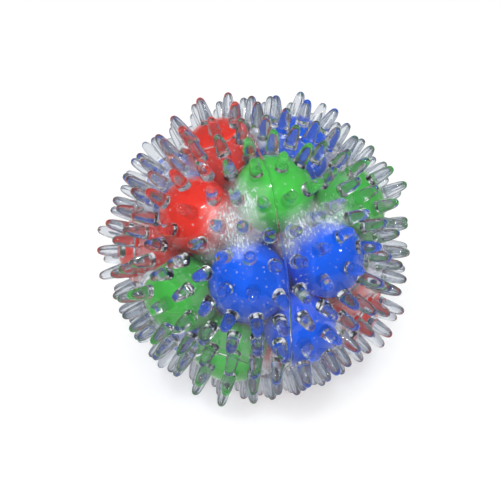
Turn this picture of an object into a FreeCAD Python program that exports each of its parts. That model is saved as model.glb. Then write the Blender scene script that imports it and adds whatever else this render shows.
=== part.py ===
import FreeCAD, Part

import math
import os
from FreeCAD import Placement, Rotation, Vector

# A clear soft rubber sensory ball: a hollow skin in two bonded halves, covered with
# blunt spikes in rings either side of the bond line, and packed with loose soft balls
# in three colours. The origin is the centre of the ball, +Z is up, the bond line lies
# in the YZ plane and the side that is seen in front faces -Y.

# Driving sizes in millimetres, and what each one is
SIZES = (
    ("ball_diameter", 21.0, "diameter of each loose ball"),
    ("ball_gap", 0.4, "play between one ball and the next, and to the skin"),
    ("ball_rib_height", 0.12, "how far a ball's moulding rib stands proud"),
    ("ball_rib_width", 0.6, "width of a ball's moulding rib"),
    ("skin_wall", 1.8, "thickness of the skin"),
    ("valley_depth", 3.5, "how far the skin sinks between the balls"),
    ("valley_round", 6.0, "radius of the hollow between a bulge and a valley"),
    ("valley_bed", 0.15, "how deep that hollow's foot is bedded in the skin"),
    ("bead_height", 0.3, "how far the bond line's bead stands proud"),
    ("bead_width", 0.8, "width of the bead over both halves"),
    ("spike_length", 7.7, "length of a spike above the skin"),
    ("spike_root_diameter", 4.4, "diameter of a spike's foot, which is buried in the skin"),
    ("spike_shoulder_diameter", 3.5, "diameter of a spike where its blunt end begins"),
    ("spike_tip_diameter", 1.4, "diameter of the flat that stands for a spike's round tip"),
    ("ring_pitch", 7.1, "distance from one ring of spikes to the next"),
    ("spike_pitch", 9.14, "distance from one spike to the next in its ring"),
)

# The outer balls: colour, turn about Z from +X towards +Y and rise above the horizontal,
# both in degrees and read off the object to the nearest five. They are only starting
# places, because the balls then settle against each other.
SETTLED_ANGLE = 42.3
OUTER_BALLS = (
    ("red", 110, 55),
    ("blue", 50, 40),
    ("green", -75, 75),
    ("green", -5, 30),
    ("red", -165, 50),
    ("red", 170, 0),
    ("green", -150, 5),
    ("blue", -110, 30),
    ("blue", -60, 30),
    ("blue", -80, -5),
    ("green", -120, -25),
    ("green", 5, -15),
    ("red", -40, -20),
    ("blue", -165, -45),
    ("blue", 125, 10),
    ("red", 90, -15),
    ("green", 140, -35),
    ("red", 50, -40),
    ("blue", 0, -55),
    ("green", 60, 5),
)

# Two more balls lie side by side at the very bottom, front and back of the middle
BOTTOM_BALLS = (("red", -90), ("green", 90))
CORE_COLOUR = "blue"

# Where the first spike of each ring stands, as a share of the step between two spikes,
# counted from the bottom towards the front. The rings go from the bond line outwards.
RIGHT_RING_SHARES = (0.5, 0.4, 0.3, 0.7, 0.2, 0.6, 0.1, 0.5, 0.5)
LEFT_RING_SHARES = (0.5, 0.5, 0.3, 0.7, 0.1, 0.6, 0.2, 0.5, 0.5)

# A spike on the side of a bulge leans out with the skin by this share
LEAN_SHARE = 0.35

# Each ball's moulding rib is turned by this share of a turn from the last ball's
RIB_TURN_SHARE = 0.382

# A spike has this many flats, and its blunt end begins at this share of its length
SPIKE_SIDES = 6
SHOULDER_SHARE = 0.58

SETTLING_ROUNDS = 4000
UP = Vector(0, 0, 1)
MOULD_AXIS = Vector(1, 0, 0)
CENTRE = Vector(0, 0, 0)


def make_sheet(doc):
    """The spreadsheet that holds the driving sizes."""
    sheet = doc.addObject("Spreadsheet::Sheet", "Sizes")
    for row, (alias, value, meaning) in enumerate(SIZES, start=1):
        sheet.set(f"A{row}", alias)
        sheet.set(f"B{row}", str(value))
        sheet.set(f"C{row}", meaning)
        sheet.setAlias(f"B{row}", alias)
    doc.recompute()
    return sheet


def direction(turn, rise):
    """The unit vector at a turn about Z and a rise above the horizontal, in degrees."""
    level = Vector(math.cos(math.radians(turn)), math.sin(math.radians(turn)), 0)
    return level * math.cos(math.radians(rise)) + UP * math.sin(math.radians(rise))


def settle(places, held):
    """Push the balls along their layer until no two are nearer than the settled angle."""
    reach = 2 * math.sin(math.radians(SETTLED_ANGLE) / 2)
    for _ in range(SETTLING_ROUNDS):
        pushes = [Vector(CENTRE) for _ in places]
        crowded = False
        for first, place in enumerate(places):
            for second in range(first):
                apart = place - places[second]
                if apart.Length < reach:
                    crowded = True
                    push = apart * ((reach / apart.Length - 1) / 2)
                    pushes[first] += push
                    pushes[second] -= push
        if not crowded:
            break
        for index, push in enumerate(pushes):
            if index not in held:
                places[index] = (places[index] + push).normalize()
    return places


def closest(places):
    """The distance between the two nearest places on the unit sphere."""
    return min(
        place.distanceToPoint(places[second])
        for first, place in enumerate(places)
        for second in range(first)
    )


class Layout:
    """Sizes that follow from the sheet and from how the balls have settled."""

    def __init__(self, sheet):
        low_rise = SETTLED_ANGLE / 2 - 90
        starts = [direction(turn, low_rise) for _, turn in BOTTOM_BALLS]
        held = range(len(starts))
        starts += [direction(turn, rise) for _, turn, rise in OUTER_BALLS]
        self.places = settle(starts, held)
        self.colours = [colour for colour, *_ in BOTTOM_BALLS + OUTER_BALLS]
        self.ball_radius = sheet.ball_diameter / 2
        self.ball_step = sheet.ball_diameter + sheet.ball_gap
        self.layer_radius = self.ball_step / closest(self.places)
        self.pocket_radius = self.ball_radius + sheet.ball_gap
        self.bulge_radius = self.pocket_radius + sheet.skin_wall
        self.skin_radius = self.layer_radius + self.bulge_radius
        self.valley_radius = self.skin_radius - sheet.valley_depth
        self.cavity_radius = self.valley_radius - sheet.skin_wall
        self.reach = self.skin_radius + sheet.spike_length


def bulge(sheet, layout, growth):
    """One bulge of the skin, on the Z axis: a dome over a ball that runs out in a hollow
    round its foot. Growth makes it that much fatter all over."""
    dome = layout.bulge_radius + growth
    hollow = sheet.valley_round - growth
    foot = layout.valley_radius + growth - sheet.valley_bed
    layer = layout.layer_radius
    arm = foot + hollow
    cosine = (layer ** 2 + arm ** 2 - (dome + hollow) ** 2) / (2 * layer * arm)
    dome_centre = UP * layer
    hollow_centre = Vector(math.sqrt(1 - cosine ** 2), 0, cosine) * arm
    to_hollow = (hollow_centre - dome_centre).normalize()
    top = dome_centre + UP * dome
    dome_end = dome_centre + to_hollow * dome
    dome_middle = dome_centre + (UP + to_hollow).normalize() * dome
    foot_end = Vector(hollow_centre).normalize() * foot
    to_foot = (foot_end - hollow_centre).normalize()
    hollow_middle = hollow_centre + (to_foot - to_hollow).normalize() * hollow
    foot_centre = UP * foot_end.z
    edges = [
        Part.Arc(top, dome_middle, dome_end).toShape(),
        Part.Arc(dome_end, hollow_middle, foot_end).toShape(),
        Part.LineSegment(foot_end, foot_centre).toShape(),
        Part.LineSegment(foot_centre, top).toShape(),
    ]
    return Part.Face(Part.Wire(edges)).revolve(CENTRE, UP, 360)


def standing(shape, foot, upwards):
    """A copy of a shape made on the Z axis, stood on a point in a direction, with its
    X side turned along the ring of spikes."""
    along = MOULD_AXIS.cross(upwards).normalize()
    copy = shape.copy()
    turned = Rotation(along, upwards.cross(along), upwards, "ZXY")
    copy.Placement = Placement(foot, turned)
    return copy


def skin_form(sheet, layout, growth):
    """The outside of the skin with no spikes, fatter by a growth."""
    valley = Part.makeSphere(layout.valley_radius + growth)
    master = bulge(sheet, layout, growth)
    return valley.multiFuse([standing(master, CENTRE, place) for place in layout.places])


def cavity_form(layout):
    """The space inside the skin: a round room with a pocket for each outer ball."""
    room = Part.makeSphere(layout.cavity_radius)
    pockets = [
        Part.makeSphere(layout.pocket_radius, place * layout.layer_radius)
        for place in layout.places
    ]
    return room.multiFuse(pockets)


def skin_seat(layout, place):
    """Where the skin lies in a direction from the centre, and which way it faces there."""
    distance = layout.valley_radius
    facing = place
    for ball in layout.places:
        along = layout.layer_radius * ball.dot(place)
        inside = layout.bulge_radius ** 2 - layout.layer_radius ** 2 + along ** 2
        if inside > 0 and along + math.sqrt(inside) > distance:
            distance = along + math.sqrt(inside)
            facing = (place * distance - ball * layout.layer_radius).normalize()
    return place * distance, facing


def ring_of_corners(radius, height):
    """The corners of one level of a spike."""
    return [
        Vector(radius * math.cos(angle), radius * math.sin(angle), height)
        for angle in (2 * math.pi * side / SPIKE_SIDES for side in range(SPIKE_SIDES))
    ]


def flat_face(corners):
    """The flat face inside a closed line of corners."""
    return Part.Face(Part.makePolygon(corners + corners[:1]))


def spike_form(sheet):
    """One spike on the Z axis, with its skin end at the centre and its root below. Its
    sides and its blunt end are flats, because there are hundreds of spikes."""
    shoulder_height = sheet.spike_length * SHOULDER_SHARE
    levels = [
        ring_of_corners(sheet.spike_root_diameter / 2, -sheet.skin_wall),
        ring_of_corners(sheet.spike_shoulder_diameter / 2, shoulder_height),
        ring_of_corners(sheet.spike_tip_diameter / 2, sheet.spike_length),
    ]
    faces = [flat_face(levels[0][::-1]), flat_face(levels[-1])]
    for lower, upper in zip(levels, levels[1:]):
        for near in range(SPIKE_SIDES):
            far = (near + 1) % SPIKE_SIDES
            faces.append(flat_face([lower[near], lower[far], upper[far], upper[near]]))
    return Part.makeSolid(Part.makeShell(faces))


def spikes(sheet, layout, side, ring_shares):
    """All spikes of one half, in rings parallel to the bond line."""
    form = spike_form(sheet)
    pitch_angle = sheet.ring_pitch / layout.skin_radius
    rings = int(math.pi / 2 / pitch_angle)
    grown = []
    for ring in range(rings):
        slope = (ring + 0.5) * pitch_angle
        round_length = 2 * math.pi * layout.skin_radius * math.cos(slope)
        count = max(1, round(round_length / sheet.spike_pitch))
        share = ring_shares[ring % len(ring_shares)]
        for spike in range(count):
            angle = 2 * math.pi * (spike + share) / count
            around = Vector(0, -math.sin(angle), -math.cos(angle))
            place = around * math.cos(slope) + MOULD_AXIS * (side * math.sin(slope))
            foot, facing = skin_seat(layout, place)
            upwards = (place * (1 - LEAN_SHARE) + facing * LEAN_SHARE).normalize()
            grown.append(standing(form, foot, upwards))
    return grown


def add_half(doc, sheet, layout, label, side, ring_shares):
    """One half of the skin: its wall, its share of the bead, and its spikes."""
    box_side = 2 * layout.reach
    corner = Vector(min(side, 0) * box_side, -layout.reach, -layout.reach)
    half_space = Part.makeBox(box_side, box_side, box_side, corner)
    bead = sheet.bead_width / 2
    bead_corner = Vector(min(side, 0) * bead, -layout.reach, -layout.reach)
    bead_space = Part.makeBox(bead, box_side, box_side, bead_corner)
    wall = skin_form(sheet, layout, 0).common(half_space)
    rim = skin_form(sheet, layout, sheet.bead_height).common(bead_space)
    solid = wall.fuse(rim).multiFuse(spikes(sheet, layout, side, ring_shares))
    half = doc.addObject("Part::Feature", label)
    half.Shape = solid.cut(cavity_form(layout))
    half.Label = label
    return half


def add_ball(doc, label, centre, rib_rotation):
    """A loose ball with a fine moulding rib round its middle."""
    body = doc.addObject("Part::Sphere", f"{label}_round")
    body.setExpression("Radius", "Sizes.ball_diameter / 2")
    rib = doc.addObject("Part::Cylinder", f"{label}_rib")
    rib.setExpression("Radius", "Sizes.ball_diameter / 2 + Sizes.ball_rib_height")
    rib.setExpression("Height", "Sizes.ball_rib_width")
    rib.setExpression(".Placement.Base.z", "-Sizes.ball_rib_width / 2")
    ball = doc.addObject("Part::Fuse", label)
    ball.Base = body
    ball.Tool = rib
    ball.Label = label
    ball.Placement = Placement(centre, rib_rotation)
    return ball


def rib_rotation(place, index):
    """Stand a rib across the outward side of a ball, each leaning another way."""
    level = UP.cross(place).normalize()
    across = place.cross(level)
    lean = Rotation(place, 360 * RIB_TURN_SHARE * index)
    return Rotation(UP, lean.multVec(across))


def core_room(layout, way):
    """How far the core ball can go from the centre before it meets an outer ball: upwards,
    or downwards where the way is -1."""
    rooms = []
    for place in layout.places:
        height = layout.layer_radius * place.z * way
        inside = height ** 2 - layout.layer_radius ** 2 + layout.ball_step ** 2
        if height > 0 and inside > 0:
            rooms.append(height - math.sqrt(inside))
    return min(rooms)


def add_balls(doc, layout):
    """The outer layer of balls, numbered by colour, and the one in the middle."""
    counts = {}
    balls = []
    for index, (colour, place) in enumerate(zip(layout.colours, layout.places)):
        counts[colour] = counts.get(colour, 0) + 1
        label = f"{colour}_ball_{counts[colour]}"
        centre = place * layout.layer_radius
        balls.append(add_ball(doc, label, centre, rib_rotation(place, index)))
    core_centre = UP * -core_room(layout, -1)
    balls.append(add_ball(doc, "core_ball", core_centre, Rotation()))
    return balls


def check(doc, parts):
    """Stop if any object failed or any piece isn't one valid solid."""
    for item in doc.Objects:
        if "Invalid" in item.State or "Error" in item.State:
            raise RuntimeError(f"{item.Label} failed: {item.State}")
    for part in parts:
        shape = part.Shape
        if shape.isNull() or not shape.isValid() or len(shape.Solids) != 1:
            raise RuntimeError(f"{part.Label} is not one valid solid")


def main():
    doc = FreeCAD.newDocument("sensory_ball")
    sheet = make_sheet(doc)
    layout = Layout(sheet)
    parts = [
        add_half(doc, sheet, layout, "right_skin_half", 1, RIGHT_RING_SHARES),
        add_half(doc, sheet, layout, "left_skin_half", -1, LEFT_RING_SHARES),
    ]
    parts += add_balls(doc, layout)
    doc.recompute()
    check(doc, parts)
    os.makedirs("parts", exist_ok=True)
    for part in parts:
        part.Shape.exportStep(f"parts/{part.Label}.step")
    travel = core_room(layout, -1) + core_room(layout, 1)
    print(f"{len(parts)} pieces, core ball travel {travel:.2f} mm")
    print(f"skin radius {layout.skin_radius:.2f} mm, layer radius {layout.layer_radius:.2f} mm")


main()
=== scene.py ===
import math
import random

import bpy
import numpy as np
from bpy.props import FloatProperty, FloatVectorProperty, IntProperty, PointerProperty
from bpy.types import Operator, Panel, PropertyGroup
from mathutils import Matrix, Vector


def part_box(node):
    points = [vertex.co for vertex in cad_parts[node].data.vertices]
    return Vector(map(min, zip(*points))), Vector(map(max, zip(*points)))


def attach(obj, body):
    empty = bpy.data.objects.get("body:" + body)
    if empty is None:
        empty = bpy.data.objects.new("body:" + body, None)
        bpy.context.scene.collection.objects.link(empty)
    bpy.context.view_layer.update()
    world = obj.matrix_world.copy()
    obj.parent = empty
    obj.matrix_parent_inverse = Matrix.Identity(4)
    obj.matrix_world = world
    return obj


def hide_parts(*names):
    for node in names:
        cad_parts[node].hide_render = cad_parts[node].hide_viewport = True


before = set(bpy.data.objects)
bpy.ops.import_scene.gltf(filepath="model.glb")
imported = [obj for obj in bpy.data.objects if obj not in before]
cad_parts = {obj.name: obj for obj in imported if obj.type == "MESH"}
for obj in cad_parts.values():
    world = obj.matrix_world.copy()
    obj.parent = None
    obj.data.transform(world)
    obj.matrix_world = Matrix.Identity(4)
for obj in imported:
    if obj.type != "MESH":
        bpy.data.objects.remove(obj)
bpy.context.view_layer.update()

bl_info = {
    "name": "Sensory ball",
    "version": (1, 0, 0),
    "blender": (4, 5, 0),
    "location": "3D View > Sidebar > Sensory Ball",
    "description": "A clear spiky rubber ball packed with loose coloured balls",
    "category": "Add Mesh",
}

SKIN_BODY = "skin"
SKIN_HALVES = (("right_skin_half", 1), ("left_skin_half", -1))
CORE = "core_ball"
COLOURS = ("red", "green", "blue")
OUTER = sorted(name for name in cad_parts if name[0:name.find("_")] in COLOURS)


def node_middle(node):
    """The middle of a CAD node's box."""
    low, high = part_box(node)
    return (low + high) / 2


def narrowest(nodes):
    """The least side of any of these nodes' boxes."""
    return min(min(high - low) for low, high in map(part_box, nodes))


MIDDLES = np.array([node_middle(node) for node in OUTER])
LAYER_RADIUS = float(np.linalg.norm(MIDDLES, axis=1).mean())
PLACES = MIDDLES / np.linalg.norm(MIDDLES, axis=1)[:, None]
BALL_RADIUS = narrowest(OUTER) / 2
FLOOR_HEIGHT = min(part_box(node)[0].z for node, _ in SKIN_HALVES)

# A spike's outline from its buried foot to its tip: height as a share of its length, and
# width as a share of its width where it leaves the skin
SPIKE_OUTLINE_SHARES = (
    (-0.30, 1.16),
    (0.01, 1.06),
    (0.05, 1.0),
    (0.20, 0.96),
    (0.42, 0.89),
    (0.62, 0.81),
    (0.78, 0.71),
    (0.89, 0.58),
    (0.95, 0.44),
    (0.985, 0.27),
    (1.0, 0.10),
)

# Where the first spike of each ring stands, as a share of the step between two spikes,
# from the ring beside the bond line outwards, on the right and on the left
RING_SHARES = {
    1: (0.5, 0.4, 0.3, 0.7, 0.2, 0.6, 0.1, 0.5, 0.5),
    -1: (0.5, 0.5, 0.3, 0.7, 0.1, 0.6, 0.2, 0.5, 0.5),
}

# Patches of the skin that are milky between balls, partly real stretched frost and partly a
# painted highlight on the crinkled skin: direction from the centre, how wide each one is as a
# share of its distance from the centre, and how milky it is
FROST_AND_HIGHLIGHT_PATCHES = (
    ((-0.18, -0.34, 0.92), 0.20, 1.0),
    ((-0.21, -0.24, 0.95), 0.18, 0.7),
    ((-0.36, -0.44, 0.82), 0.26, 1.0),
    ((-0.30, -0.58, 0.76), 0.20, 0.9),
    ((-0.50, -0.53, 0.68), 0.18, 0.6),
    ((0.17, -0.57, 0.81), 0.22, 0.9),
    ((0.31, -0.50, 0.81), 0.18, 0.8),
    ((0.42, -0.51, 0.76), 0.20, 1.0),
    ((0.51, -0.45, 0.74), 0.17, 0.9),
    ((0.05, -0.67, 0.74), 0.16, 0.8),
    ((0.08, 0.18, 0.98), 0.22, 0.55),
    ((0.58, 0.10, 0.81), 0.18, 0.4),
    ((-0.54, 0.10, 0.84), 0.24, 0.7),
    ((-0.67, 0.27, 0.69), 0.28, 0.8),
    ((-0.10, -0.94, -0.34), 0.22, 0.4),
    # The far side and the bottom
    ((-0.04, 0.91, 0.41), 0.24, 0.8),
    ((-0.29, 0.81, 0.50), 0.20, 0.7),
    ((0.41, 0.77, 0.50), 0.22, 0.7),
    ((0.84, 0.44, 0.31), 0.20, 0.5),
    ((-0.79, 0.59, -0.16), 0.22, 0.7),
    ((-0.50, 0.83, -0.25), 0.20, 0.8),
    ((0.35, 0.90, -0.25), 0.22, 0.7),
    ((0.87, -0.21, -0.45), 0.20, 0.5),
    ((-0.32, 0.01, -0.95), 0.22, 0.6),
    ((0.42, 0.34, -0.84), 0.22, 0.6),
)

# How far a spike leans from the centre line towards square on the skin at its foot
LEAN_SHARE = 0.35

# The skin bridges between balls from this many degrees off the nearest ball's middle, and
# does so fully this many degrees further on
BRIDGE_START = 12.5
BRIDGE_RUN = 6

# How finely the skin and its bead are cut, and which edges look sharp
SKIN_SUBDIVISIONS = 7
BEAD_STEPS_ALONG = 720
BEAD_STEPS_AROUND = 10
SHARP_EDGE_ANGLE = math.radians(38)

FLOOR_SIZE = 12

# The lamps: direction from the ball, width, power, colour, and whether gloss mirrors it
LAMP_DISTANCE = 0.9
LAMPS = (
    ("key_light", (-0.25, -0.35, 1.0), 0.5, 3.6, (1.0, 0.99, 0.97), False),
    ("ceiling_light", (-0.1, -0.2, 1.0), 0.07, 0.9, (1.0, 1.0, 1.0), True),
    ("window_light", (0.9, -0.5, 0.9), 0.10, 0.7, (0.92, 0.96, 1.0), True),
)


class SkinSizes(PropertyGroup):
    """Sizes of the clear skin and its spikes."""

    wall: FloatProperty(
        name="Wall", description="Thickness of the skin", default=0.0018, unit="LENGTH"
    )
    stretch: FloatProperty(
        name="Stretch",
        description="How far the dome over a ball stands out beyond the ball and the wall",
        default=0.0004,
        unit="LENGTH",
    )
    cling: FloatProperty(
        name="Cling",
        description="How far a ball is pressed into the skin, so that no air is left between",
        default=0.00005,
        unit="LENGTH",
    )
    valley_depth: FloatProperty(
        name="Valley depth",
        description="How far the skin sinks between the balls",
        default=0.0035,
        unit="LENGTH",
    )
    valley_blend: FloatProperty(
        name="Valley blend",
        description="Height over which a bulge runs out into a valley outside",
        default=0.0024,
        unit="LENGTH",
    )
    inner_blend: FloatProperty(
        name="Inner blend",
        description="Height over which a pocket runs out into the room inside",
        default=0.0005,
        unit="LENGTH",
    )
    bead_width: FloatProperty(
        name="Bead width",
        description="Width of the raised bond line",
        default=0.0007,
        unit="LENGTH",
    )
    bond_gap: FloatProperty(
        name="Bond gap",
        description="Width of the bond between the halves",
        default=0.00003,
        unit="LENGTH",
    )
    spike_length: FloatProperty(
        name="Spike length",
        description="Length of a spike above the skin",
        default=0.0076,
        unit="LENGTH",
    )
    spike_width: FloatProperty(
        name="Spike width",
        description="Width of a spike where it leaves the skin",
        default=0.0041,
        unit="LENGTH",
    )
    spike_sides: IntProperty(
        name="Spike sides", description="Facets round a spike", default=20, min=8
    )
    ring_pitch: FloatProperty(
        name="Ring pitch",
        description="Distance from one ring of spikes to the next",
        default=0.0071,
        unit="LENGTH",
    )
    spike_pitch: FloatProperty(
        name="Spike pitch",
        description="Distance from one spike to the next in its ring",
        default=0.00914,
        unit="LENGTH",
    )
    sway: FloatProperty(
        name="Sway",
        description="How far a spike may lean its own way",
        default=math.radians(4),
        subtype="ANGLE",
    )


class BallLooks(PropertyGroup):
    """Colours of the loose balls."""

    red: FloatVectorProperty(
        name="Red",
        description="Colour of the red balls",
        default=(0.73, 0.028, 0.016),
        subtype="COLOR",
    )
    green: FloatVectorProperty(
        name="Green",
        description="Colour of the green balls",
        default=(0.06, 0.51, 0.065),
        subtype="COLOR",
    )
    blue: FloatVectorProperty(
        name="Blue",
        description="Colour of the blue balls",
        default=(0.0, 0.105, 0.78),
        subtype="COLOR",
    )


class StageSettings(PropertyGroup):
    """The camera and the light."""

    azimuth: FloatProperty(
        name="Azimuth",
        description="Turn of the camera about Z from the front",
        default=math.radians(-15.77),
        subtype="ANGLE",
    )
    elevation: FloatProperty(
        name="Elevation",
        description="Rise of the camera above the horizontal",
        default=math.radians(47.5),
        subtype="ANGLE",
    )
    roll: FloatProperty(
        name="Roll",
        description="Turn of the camera about its own axis",
        default=math.radians(2.1),
        subtype="ANGLE",
    )
    distance: FloatProperty(
        name="Distance",
        description="Distance from the camera to the middle of the ball",
        default=0.415,
        unit="LENGTH",
    )
    lens: FloatProperty(
        name="Lens", description="Focal length in millimetres", default=97.7
    )
    shift: FloatVectorProperty(
        name="Shift",
        description="Sideways and upward shift of the picture",
        size=2,
        default=(-0.0146, -0.004),
    )
    world_light: FloatProperty(
        name="World light", description="Strength of the even light", default=0.44
    )
    floor_glow: FloatProperty(
        name="Floor glow",
        description="What a camera sees on the floor besides its own light",
        default=0.3,
    )


def deselect():
    """Leave nothing selected."""
    bpy.ops.object.select_all(action="DESELECT")


def activate(*objects):
    """Select these objects only; the first is the active one."""
    deselect()
    for item in objects:
        item.select_set(True)
    bpy.context.view_layer.objects.active = objects[0]


def apply_boolean(target, other, operation):
    """Cut, join or intersect a closed mesh with another, which is used up."""
    activate(target)
    change = target.modifiers.new(operation.lower(), "BOOLEAN")
    change.operation = operation
    change.solver = "MANIFOLD"
    change.object = other
    bpy.ops.object.modifier_apply(modifier=change.name)
    bpy.data.objects.remove(other)


def mesh_points(item):
    """All points of a mesh as rows."""
    points = np.empty(len(item.data.vertices) * 3)
    item.data.vertices.foreach_get("co", points)
    return points.reshape(-1, 3)


def set_points(item, points):
    """Move all points of a mesh."""
    item.data.vertices.foreach_set("co", points.ravel())
    item.data.update()


def nearest_ball(directions):
    """Cosine of the angle from each direction to the nearest outer ball."""
    return (directions @ PLACES.T).max(axis=1)


def dome_radius(sizes):
    """Radius of the outside of the skin over a ball."""
    return BALL_RADIUS + sizes.stretch + sizes.wall


def valley_radius(sizes):
    """Distance from the centre to the outside of the skin between the balls."""
    return LAYER_RADIUS + dome_radius(sizes) - sizes.valley_depth


def dome_height(directions, radius):
    """Distance from the centre to a dome of this radius round the nearest ball."""
    along = LAYER_RADIUS * nearest_ball(directions)
    inside = radius ** 2 - LAYER_RADIUS ** 2 + along ** 2
    return along + np.sqrt(np.maximum(inside, 0))


def form_height(directions, radius, valley, rounding):
    """Distance from the centre to a surface that is domed over each ball and runs out
    smoothly into a round valley."""
    dome = dome_height(directions, radius)
    overlap = np.maximum(rounding - np.abs(dome - valley), 0) / rounding
    return np.maximum(dome, valley) + overlap ** 2 * rounding / 4


def outer_height(sizes, directions):
    """Distance from the centre to the outside of the skin."""
    valley = valley_radius(sizes)
    return form_height(directions, dome_radius(sizes), valley, sizes.valley_blend)


def inner_height(sizes, directions):
    """Distance from the centre to the inside of the skin, which clings to the balls."""
    valley = valley_radius(sizes) - sizes.wall
    return form_height(directions, BALL_RADIUS - sizes.cling, valley, sizes.inner_blend)


def moulded_sphere(name, height):
    """A fine sphere whose points are moved out to a height that depends on direction."""
    deselect()
    bpy.ops.mesh.primitive_ico_sphere_add(
        subdivisions=SKIN_SUBDIVISIONS, radius=LAYER_RADIUS
    )
    ball = bpy.context.object
    ball.name = name
    directions = mesh_points(ball) / LAYER_RADIUS
    directions /= np.linalg.norm(directions, axis=1)[:, None]
    set_points(ball, directions * height(directions)[:, None])
    return ball


def bond_bead(sizes):
    """The fine bead along the bond line: a thin ring that follows the skin."""
    deselect()
    bpy.ops.mesh.primitive_torus_add(
        major_segments=BEAD_STEPS_ALONG,
        minor_segments=BEAD_STEPS_AROUND,
        major_radius=LAYER_RADIUS,
        minor_radius=sizes.bead_width / 2,
        rotation=(0, math.radians(90), 0),
    )
    bead = bpy.context.object
    bpy.ops.object.transform_apply()
    points = mesh_points(bead)
    level = points * (0, 1, 1)
    radius = np.linalg.norm(level, axis=1)
    directions = level / radius[:, None]
    lifted = outer_height(sizes, directions) + radius - LAYER_RADIUS
    set_points(bead, points * (1, 0, 0) + directions * lifted[:, None])
    return bead


def spike_master(sizes):
    """One spike on the Z axis: a disc pulled up level by level and drawn in."""
    length = sizes.spike_length
    root = sizes.spike_width / 2
    first_height, first_width = SPIKE_OUTLINE_SHARES[0]
    deselect()
    bpy.ops.mesh.primitive_circle_add(
        vertices=sizes.spike_sides,
        radius=root * first_width,
        fill_type="NGON",
        location=(0, 0, length * first_height),
    )
    spike = bpy.context.object
    bpy.ops.object.transform_apply()
    bpy.ops.object.mode_set(mode="EDIT")
    bpy.ops.mesh.select_all(action="SELECT")
    height = first_height
    width = first_width
    for next_height, next_width in SPIKE_OUTLINE_SHARES[1:]:
        rise = (0, 0, length * (next_height - height))
        bpy.ops.mesh.extrude_region_move(TRANSFORM_OT_translate={"value": rise})
        draw_in = next_width / width
        bpy.ops.transform.resize(
            value=(draw_in, draw_in, 1), center_override=(0, 0, length * next_height)
        )
        height = next_height
        width = next_width
    bpy.ops.mesh.select_all(action="SELECT")
    bpy.ops.mesh.normals_make_consistent(inside=False)
    bpy.ops.object.mode_set(mode="OBJECT")
    return spike


def spike_places(sizes, side):
    """Directions from the centre to all spikes of one half, ring by ring."""
    skin_radius = LAYER_RADIUS + dome_radius(sizes)
    pitch_angle = sizes.ring_pitch / skin_radius
    rings = int(math.pi / 2 / pitch_angle)
    shares = RING_SHARES[side]
    places = []
    for ring in range(rings):
        slope = (ring + 0.5) * pitch_angle
        round_length = 2 * math.pi * skin_radius * math.cos(slope)
        count = max(1, round(round_length / sizes.spike_pitch))
        for spike in range(count):
            angle = 2 * math.pi * (spike + shares[ring % len(shares)]) / count
            around = Vector((0, -math.sin(angle), -math.cos(angle)))
            places.append(around * math.cos(slope) + Vector((side * math.sin(slope), 0, 0)))
    return places


def facing(sizes, place):
    """Where the skin lies in a direction from the centre, and which way it faces there."""
    directions = np.array([place])
    foot = place * float(outer_height(sizes, directions)[0])
    if dome_height(directions, dome_radius(sizes))[0] < valley_radius(sizes):
        return foot, place
    ball = Vector(PLACES[int((directions @ PLACES.T).argmax())])
    return foot, (foot - ball * LAYER_RADIUS).normalized()


def spikes(sizes, side):
    """All spikes of one half, joined. Each leans out with the skin under it, and a little
    its own way."""
    master = spike_master(sizes)
    draws = random.Random(side)
    copies = []
    for place in spike_places(sizes, side):
        foot, square = facing(sizes, place)
        upwards = place.lerp(square, LEAN_SHARE)
        copy = master.copy()
        copy.data = master.data.copy()
        bpy.context.scene.collection.objects.link(copy)
        sway = Matrix.Rotation(draws.uniform(-1, 1) * sizes.sway, 4, "X")
        sway @= Matrix.Rotation(draws.uniform(-1, 1) * sizes.sway, 4, "Y")
        upright = upwards.to_track_quat("Z", "Y").to_matrix().to_4x4()
        copy.matrix_world = Matrix.Translation(foot) @ upright @ sway
        copies.append(copy)
    activate(*copies)
    bpy.ops.object.join()
    joined = bpy.context.object
    bpy.ops.object.transform_apply()
    bpy.data.objects.remove(master)
    return joined


def skin_outside(sizes):
    """The bulged outside of the whole skin as a solid, with a bead round it."""
    outside = moulded_sphere("outside", lambda ways: outer_height(sizes, ways))
    apply_boolean(outside, bond_bead(sizes), "UNION")
    return outside


def skin_hollow(sizes):
    """The space inside the skin as a solid."""
    return moulded_sphere("hollow", lambda ways: inner_height(sizes, ways))


def half_space(sizes, side):
    """A block that takes in everything on one side of the bond line."""
    reach = 2 * (LAYER_RADIUS + BALL_RADIUS + sizes.spike_length)
    deselect()
    middle = side * (reach + sizes.bond_gap) / 2
    bpy.ops.mesh.primitive_cube_add(size=reach, location=(middle, 0, 0))
    block = bpy.context.object
    bpy.ops.object.transform_apply()
    return block


def store_share(item, name, values):
    """Keep a value from 0 to 1 for each point of a mesh, for its material to read."""
    layer = item.data.attributes.new(name, "FLOAT", "POINT")
    layer.data.foreach_set("value", np.clip(values, 0, 1).astype(np.float32))


def mark_skin(sizes, skin):
    """Store where the skin bridges between balls, how far up a spike a point is, and how
    milky the skin is there, with the painted highlight in its milky patches."""
    points = mesh_points(skin)
    distance = np.linalg.norm(points, axis=1)
    directions = points / distance[:, None]
    angle = np.degrees(np.arccos(np.clip(nearest_ball(directions), -1, 1)))
    store_share(skin, "bridge", (angle - BRIDGE_START) / BRIDGE_RUN)
    store_share(skin, "spike", (distance - outer_height(sizes, directions)) / sizes.spike_length)
    # Milky patches: partly real frost and partly a painted highlight
    frost_and_highlight = np.zeros(len(points))
    for way, width, milk_and_highlight in FROST_AND_HIGHLIGHT_PATCHES:
        middle = np.array(way) / np.linalg.norm(way)
        apart = np.linalg.norm(directions - middle, axis=1)
        frost_and_highlight = np.maximum(frost_and_highlight, milk_and_highlight * np.maximum(1 - apart / width, 0))
    store_share(skin, "frost_and_highlight", frost_and_highlight)


def new_material(name):
    """An empty node material and its node tree."""
    material = bpy.data.materials.new(name)
    material.use_nodes = True
    material.node_tree.nodes.clear()
    return material, material.node_tree


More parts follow.
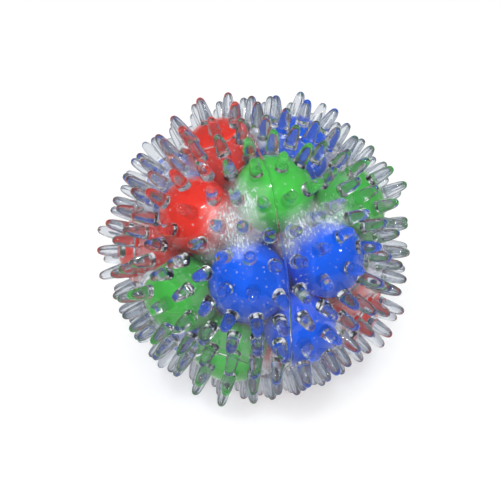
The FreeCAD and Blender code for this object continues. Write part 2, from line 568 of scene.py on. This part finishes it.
def add_node(tree, kind, **inputs):
    """A node with values on its sockets, named with low lines for spaces."""
    node = tree.nodes.new(kind)
    for name, value in inputs.items():
        node.inputs[name.replace("_", " ")].default_value = value
    return node


def link(tree, output, target):
    """Connect two sockets."""
    tree.links.new(output, target)


def feed(tree, value, socket):
    """Give a socket its value: from another socket, or as a number or a colour."""
    if isinstance(value, bpy.types.NodeSocket):
        link(tree, value, socket)
    else:
        socket.default_value = value


def object_place(tree):
    """Where a point lies in the object's own coordinates."""
    return tree.nodes.new("ShaderNodeTexCoord").outputs["Object"]


def attribute_value(tree, name):
    """The value stored under a name on the mesh."""
    node = tree.nodes.new("ShaderNodeAttribute")
    node.attribute_name = name
    return node.outputs["Fac"]


def calculate(tree, operation, first, second):
    """A Math node; each side is a socket or a number."""
    node = tree.nodes.new("ShaderNodeMath")
    node.operation = operation
    feed(tree, first, node.inputs[0])
    feed(tree, second, node.inputs[1])
    return node.outputs["Value"]


def ramp(tree, value, low, high, start=0.0, end=1.0):
    """Map a value from low..high to start..end, smoothly, and hold it outside."""
    node = tree.nodes.new("ShaderNodeMapRange")
    node.interpolation_type = "SMOOTHSTEP"
    link(tree, value, node.inputs["Value"])
    for name, end_value in (
        ("From Min", low), ("From Max", high), ("To Min", start), ("To Max", end)
    ):
        feed(tree, end_value, node.inputs[name])
    return node.outputs["Result"]


def noise(tree, place, scale, detail, roughness=0.5):
    """The strength of a noise at a place."""
    node = add_node(
        tree, "ShaderNodeTexNoise", Scale=scale, Detail=detail, Roughness=roughness
    )
    link(tree, place, node.inputs["Vector"])
    return node.outputs["Fac"]


def relief(tree, height, strength, distance):
    """The normal of a surface with this height; the strength is a socket or a number."""
    node = add_node(tree, "ShaderNodeBump", Distance=distance)
    link(tree, height, node.inputs["Height"])
    feed(tree, strength, node.inputs["Strength"])
    return node.outputs["Normal"]


def blend(tree, share, first, second):
    """Go from one colour to another; each is a socket or a colour."""
    node = tree.nodes.new("ShaderNodeMix")
    node.data_type = "RGBA"
    link(tree, share, node.inputs["Factor"])
    feed(tree, first, node.inputs["A"])
    feed(tree, second, node.inputs["B"])
    return node.outputs["Result"]


def mix_shaders(tree, share, first, second):
    """Go from one shader to another."""
    node = tree.nodes.new("ShaderNodeMixShader")
    for value, socket in zip((share, first, second), node.inputs):
        link(tree, value, socket)
    return node.outputs["Shader"]


def cover_surface(tree, shader):
    """Make a shader the surface of its material."""
    output = tree.nodes.new("ShaderNodeOutputMaterial")
    link(tree, shader, output.inputs["Surface"])


def skin_streaks(tree, place):
    """Fine streaks that run the way the bond line does."""
    drawn_out = tree.nodes.new("ShaderNodeVectorMath")
    drawn_out.operation = "MULTIPLY"
    drawn_out.inputs[1].default_value = (1.0, 0.4, 0.4)
    link(tree, place, drawn_out.inputs[0])
    return noise(tree, drawn_out.outputs["Vector"], 1600.0, 5.0, 0.75)


def flow_marks(tree, place):
    """Marks that run along each spike, because they depend on the direction only."""
    direction = tree.nodes.new("ShaderNodeVectorMath")
    direction.operation = "NORMALIZE"
    link(tree, place, direction.inputs[0])
    return noise(tree, direction.outputs["Vector"], 60.0, 1.0)


def skin_relief(tree, place, streaks, rough_skin, on_spike):
    """The normal of the skin: crackled where it is stretched, with flow marks on the
    spikes."""
    crackle = calculate(tree, "ADD", noise(tree, place, 1100.0, 4.0, 0.65), streaks)
    crackled = calculate(tree, "MULTIPLY", crackle, rough_skin)
    flow_height = calculate(tree, "MULTIPLY", on_spike, 1.2)
    flowed = calculate(tree, "MULTIPLY", flow_marks(tree, place), flow_height)
    return relief(tree, calculate(tree, "ADD", crackled, flowed), 0.35, 0.0003)


def skin_tint_and_shade(tree, bridge, on_spike):
    """The colour that the rubber gives to light: nearly none over a ball, a darker grey where it
    bridges between balls, which is painted shade, and on a spike a grey that is partly its own
    tint and partly painted shade, deepening towards the edges as painted shade."""
    # Painted shade: a spike's grey deepens towards its edges
    painted_edge_shade = add_node(tree, "ShaderNodeLayerWeight", Blend=0.30)
    # Painted shade: the skin is tinted a darker grey where it bridges between balls
    wall = blend(tree, bridge, (0.96, 0.97, 0.98, 1), (0.71, 0.72, 0.79, 1))
    # The spike's grey is partly the rubber's own tint and partly painted shade
    spike = blend(
        tree, painted_edge_shade.outputs["Facing"], (0.73, 0.76, 0.81, 1), (0.34, 0.36, 0.40, 1)
    )
    return blend(tree, on_spike, wall, spike)


def milk_and_highlight_share(tree, place, frost_and_highlight, streaks, on_spike, off_spike):
    """How milky the skin is: a haze with white fibres in the stretched patches, partly real
    frost and partly a painted highlight with painted glints, a few dots all over, and a trace on
    the spikes that is partly a painted reflection."""
    # Painted highlight, partly real frost: an even milky haze in the patches
    frost_and_highlight_haze = ramp(tree, frost_and_highlight, 0.12, 0.7, 0.0, 0.13)
    swollen = calculate(tree, "ADD", streaks, calculate(tree, "MULTIPLY", frost_and_highlight, 0.22))
    # Painted glints, partly real frost: crisp white fibres in the patches
    frost_and_glint_fibres = calculate(
        tree, "MULTIPLY", ramp(tree, swollen, 0.67, 0.77), ramp(tree, frost_and_highlight, 0.02, 0.4, 0.0, 0.9)
    )
    dots = ramp(tree, noise(tree, place, 1300.0, 0.0), 0.76, 0.80, 0.0, 0.35)
    frost_dots_and_highlight = calculate(tree, "MAXIMUM", calculate(tree, "MAXIMUM", frost_and_highlight_haze, frost_and_glint_fibres), dots)
    on_wall = calculate(tree, "MULTIPLY", frost_dots_and_highlight, off_spike)
    # The trace on the spikes is partly their own cloudiness and partly a painted reflection
    return calculate(tree, "ADD", on_wall, calculate(tree, "MULTIPLY", on_spike, 0.02))


def skin_material():
    """Clear tacky rubber, milky and finely crackled where it is stretched between balls, with a
    painted highlight in the milky patches, a grey in its bridges that is painted shade, and a
    little grey in its spikes that is partly painted shade. Light passes through it where it
    casts a shadow."""
    material, tree = new_material("clear_skin_rubber")
    place = object_place(tree)
    bridge = attribute_value(tree, "bridge")
    spike = attribute_value(tree, "spike")
    frost_and_highlight = attribute_value(tree, "frost_and_highlight")
    on_spike = ramp(tree, spike, 0.01, 0.08)
    off_spike = ramp(tree, spike, 0.01, 0.06, 1.0, 0.0)
    streaks = skin_streaks(tree, place)
    stretched = calculate(
        tree, "MAXIMUM", ramp(tree, frost_and_highlight, 0.0, 0.6), calculate(tree, "MULTIPLY", bridge, 0.08)
    )
    rough_skin = calculate(tree, "MULTIPLY", stretched, off_spike)
    normal = skin_relief(tree, place, streaks, rough_skin, on_spike)

    glass = add_node(
        tree,
        "ShaderNodeBsdfPrincipled",
        Transmission_Weight=1.0,
        IOR=1.48,
        Specular_IOR_Level=0.14,
    )
    link(tree, skin_tint_and_shade(tree, bridge, on_spike), glass.inputs["Base Color"])
    wet = ramp(tree, on_spike, 0.0, 1.0, 0.06, 0.02)
    dull = calculate(tree, "MULTIPLY", rough_skin, 0.14)
    link(tree, calculate(tree, "ADD", wet, dull), glass.inputs["Roughness"])
    link(tree, normal, glass.inputs["Normal"])

    # The milky shader, which also paints the highlights in the patches
    milk_and_highlight = add_node(
        tree, "ShaderNodeBsdfPrincipled", Base_Color=(0.84, 0.93, 0.95, 1), Roughness=0.3
    )
    link(tree, normal, milk_and_highlight.inputs["Normal"])
    milk_and_highlight_cover = milk_and_highlight_share(tree, place, frost_and_highlight, streaks, on_spike, off_spike)
    milky_and_highlighted = mix_shaders(tree, milk_and_highlight_cover, glass.outputs["BSDF"], milk_and_highlight.outputs["BSDF"])

    clear = add_node(tree, "ShaderNodeBsdfTransparent", Color=(0.95, 0.96, 0.97, 1))
    shadow = tree.nodes.new("ShaderNodeLightPath").outputs["Is Shadow Ray"]
    cover_surface(tree, mix_shaders(tree, shadow, milky_and_highlighted, clear.outputs["BSDF"]))
    return material


def cloudy_rubber():
    """A node group that clouds a colour faintly and gives its surface a fine grain."""
    group = bpy.data.node_groups.new("cloudy_rubber", "ShaderNodeTree")
    for name, kind in (
        ("Colour", "NodeSocketColor"),
        ("Darkest", "NodeSocketFloat"),
        ("Lightest", "NodeSocketFloat"),
        ("Grain", "NodeSocketFloat"),
    ):
        group.interface.new_socket(name, in_out="INPUT", socket_type=kind)
    group.interface.new_socket("Colour", in_out="OUTPUT", socket_type="NodeSocketColor")
    group.interface.new_socket("Normal", in_out="OUTPUT", socket_type="NodeSocketVector")
    given = group.nodes.new("NodeGroupInput")
    result = group.nodes.new("NodeGroupOutput")

    place = object_place(group)
    darkest = given.outputs["Darkest"]
    lightest = given.outputs["Lightest"]
    cloud = ramp(group, noise(group, place, 90.0, 3.0), 0.35, 0.65, darkest, lightest)
    shade = group.nodes.new("ShaderNodeHueSaturation")
    link(group, given.outputs["Colour"], shade.inputs["Color"])
    link(group, cloud, shade.inputs["Value"])
    link(group, shade.outputs["Color"], result.inputs["Colour"])

    grain = relief(group, noise(group, place, 900.0, 2.0), given.outputs["Grain"], 0.0001)
    link(group, grain, result.inputs["Normal"])
    return group


def ball_material(colour_name, colour, clouding):
    """Soft satin rubber with faint cloudy colour."""
    material, tree = new_material(f"{colour_name}_ball_rubber")
    look = tree.nodes.new("ShaderNodeGroup")
    look.node_tree = clouding
    look.inputs["Colour"].default_value = (*colour, 1)
    look.inputs["Darkest"].default_value = 0.9
    look.inputs["Lightest"].default_value = 1.08
    look.inputs["Grain"].default_value = 0.15
    rubber = add_node(
        tree, "ShaderNodeBsdfPrincipled", Roughness=0.42, Specular_IOR_Level=0.03
    )
    link(tree, look.outputs["Colour"], rubber.inputs["Base Color"])
    link(tree, look.outputs["Normal"], rubber.inputs["Normal"])
    cover_surface(tree, rubber.outputs["BSDF"])
    return material


def floor_material(glow):
    """A plain white surface that looks fully lit to the camera and through glass."""
    material, tree = new_material("white_floor")
    path = tree.nodes.new("ShaderNodeLightPath")
    in_glass = calculate(
        tree, "MAXIMUM", path.outputs["Is Glossy Ray"], path.outputs["Is Transmission Ray"]
    )
    seen = calculate(tree, "MAXIMUM", path.outputs["Is Camera Ray"], in_glass)
    paint = add_node(tree, "ShaderNodeBsdfDiffuse", Color=(0.86, 0.86, 0.86, 1))
    light = tree.nodes.new("ShaderNodeEmission")
    link(tree, calculate(tree, "MULTIPLY", seen, glow), light.inputs["Strength"])
    both = tree.nodes.new("ShaderNodeAddShader")
    link(tree, paint.outputs["BSDF"], both.inputs[0])
    link(tree, light.outputs["Emission"], both.inputs[1])
    cover_surface(tree, both.outputs["Shader"])
    return material


def even_light(strength):
    """A world that lights evenly from all round. It looks white, also straight through the
    clear skin, and that whiteness lights nothing."""
    world = bpy.data.worlds.new("even_light")
    world.use_nodes = True
    tree = world.node_tree
    path = tree.nodes.new("ShaderNodeLightPath")
    looked_at = calculate(
        tree, "MAXIMUM", path.outputs["Is Camera Ray"], path.outputs["Is Transmission Ray"]
    )
    turned_back = calculate(
        tree, "ADD", path.outputs["Diffuse Depth"], path.outputs["Glossy Depth"]
    )
    straight = calculate(tree, "LESS_THAN", turned_back, 0.5)
    seen = calculate(tree, "MULTIPLY", looked_at, straight)
    added = calculate(tree, "MULTIPLY", seen, 1 - strength)
    background = tree.nodes["Background"]
    background.inputs["Color"].default_value = (1, 1, 1, 1)
    link(tree, calculate(tree, "ADD", added, strength), background.inputs["Strength"])
    return world


def dress(piece, material, body, slot, *nodes):
    """Finish a new piece: its material, its body and the nodes it stands for. The slot is not
    used.
    """
    piece.data.materials.clear()
    piece.data.materials.append(material)
    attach(piece, body)
    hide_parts(*nodes)


class TOY_OT_skin(Operator):
    """Mould both halves of the clear skin with their spikes"""

    bl_idname = "toy.skin"
    bl_label = "Clear Skin"

    def execute(self, context):
        sizes = context.scene.skin_sizes
        material = skin_material()
        outside = skin_outside(sizes)
        for node, side in SKIN_HALVES:
            half = outside.copy()
            half.data = outside.data.copy()
            half.name = node.replace("_half", "")
            context.scene.collection.objects.link(half)
            apply_boolean(half, half_space(sizes, side), "INTERSECT")
            apply_boolean(half, spikes(sizes, side), "UNION")
            apply_boolean(half, skin_hollow(sizes), "DIFFERENCE")
            activate(half)
            bpy.ops.object.shade_smooth_by_angle(angle=SHARP_EDGE_ANGLE)
            mark_skin(sizes, half)
            dress(half, material, SKIN_BODY, "clear_skin", node)
        bpy.data.objects.remove(outside)
        return {"FINISHED"}


class TOY_OT_balls(Operator):
    """Finish the loose balls in their three colours"""

    bl_idname = "toy.balls"
    bl_label = "Loose Balls"

    def execute(self, context):
        looks = context.scene.ball_looks
        clouding = cloudy_rubber()
        materials = {
            name: ball_material(name, getattr(looks, name), clouding) for name in COLOURS
        }
        for node in OUTER + [CORE]:
            colour = "blue" if node == CORE else node[0:node.find("_")]
            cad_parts[node].material_slots[0].material = materials[colour]
        return {"FINISHED"}


def add_light(name, direction, size, power, colour, mirrored):
    """A round soft light that looks at the middle of the ball. One that isn't mirrored
    leaves no highlight."""
    towards = Vector(direction).normalized()
    deselect()
    bpy.ops.object.light_add(
        type="AREA",
        location=towards * LAMP_DISTANCE,
        rotation=towards.to_track_quat("Z", "Y").to_euler(),
    )
    lamp = bpy.context.object
    lamp.name = name
    lamp.data.shape = "DISK"
    lamp.data.size = size
    lamp.data.energy = power
    lamp.data.color = colour
    lamp.visible_glossy = mirrored


class TOY_OT_stage(Operator):
    """Set out the floor, the light and the camera"""

    bl_idname = "toy.stage"
    bl_label = "Stage"

    def execute(self, context):
        settings = context.scene.stage_settings
        deselect()
        bpy.ops.mesh.primitive_plane_add(size=FLOOR_SIZE, location=(0, 0, FLOOR_HEIGHT))
        floor = context.object
        floor.name = "floor"
        floor.data.materials.append(floor_material(settings.floor_glow))

        context.scene.world = even_light(settings.world_light)

        for name, direction, size, power, colour, mirrored in LAMPS:
            add_light(name, direction, size, power, colour, mirrored)

        turn = Matrix.Rotation(settings.azimuth, 4, "Z")
        turn @= Matrix.Rotation(math.radians(90) - settings.elevation, 4, "X")
        turn @= Matrix.Rotation(settings.roll, 4, "Z")
        place = turn @ Vector((0, 0, settings.distance))
        bpy.ops.object.camera_add(location=place, rotation=turn.to_euler())
        camera = context.object
        camera.data.lens = settings.lens
        camera.data.sensor_width = 36
        camera.data.shift_x, camera.data.shift_y = settings.shift
        camera.data.clip_start = 0.01
        context.scene.camera = camera
        context.scene.view_settings.view_transform = "Standard"
        return {"FINISHED"}


class TOY_PT_sensory_ball(Panel):
    """Everything the ball is made with"""

    bl_idname = "TOY_PT_sensory_ball"
    bl_label = "Sensory Ball"
    bl_space_type = "VIEW_3D"
    bl_region_type = "UI"
    bl_category = "Sensory Ball"

    def draw(self, context):
        for group in (
            context.scene.skin_sizes, context.scene.ball_looks, context.scene.stage_settings
        ):
            box = self.layout.box()
            for name in group.bl_rna.properties.keys()[2:]:
                box.prop(group, name)
        for operator in OPERATORS:
            self.layout.operator(operator.bl_idname)


GROUPS = (
    (SkinSizes, "skin_sizes"),
    (BallLooks, "ball_looks"),
    (StageSettings, "stage_settings"),
)
OPERATORS = (TOY_OT_skin, TOY_OT_balls, TOY_OT_stage)


def register():
    for group, name in GROUPS:
        bpy.utils.register_class(group)
        setattr(bpy.types.Scene, name, PointerProperty(type=group))
    for item in OPERATORS + (TOY_PT_sensory_ball,):
        bpy.utils.register_class(item)


def unregister():
    for item in reversed(OPERATORS + (TOY_PT_sensory_ball,)):
        bpy.utils.unregister_class(item)
    for group, name in reversed(GROUPS):
        delattr(bpy.types.Scene, name)
        bpy.utils.unregister_class(group)


def main():
    register()
    bpy.ops.toy.skin()
    bpy.ops.toy.balls()
    bpy.ops.toy.stage()


if __name__ == "__main__":
    main()
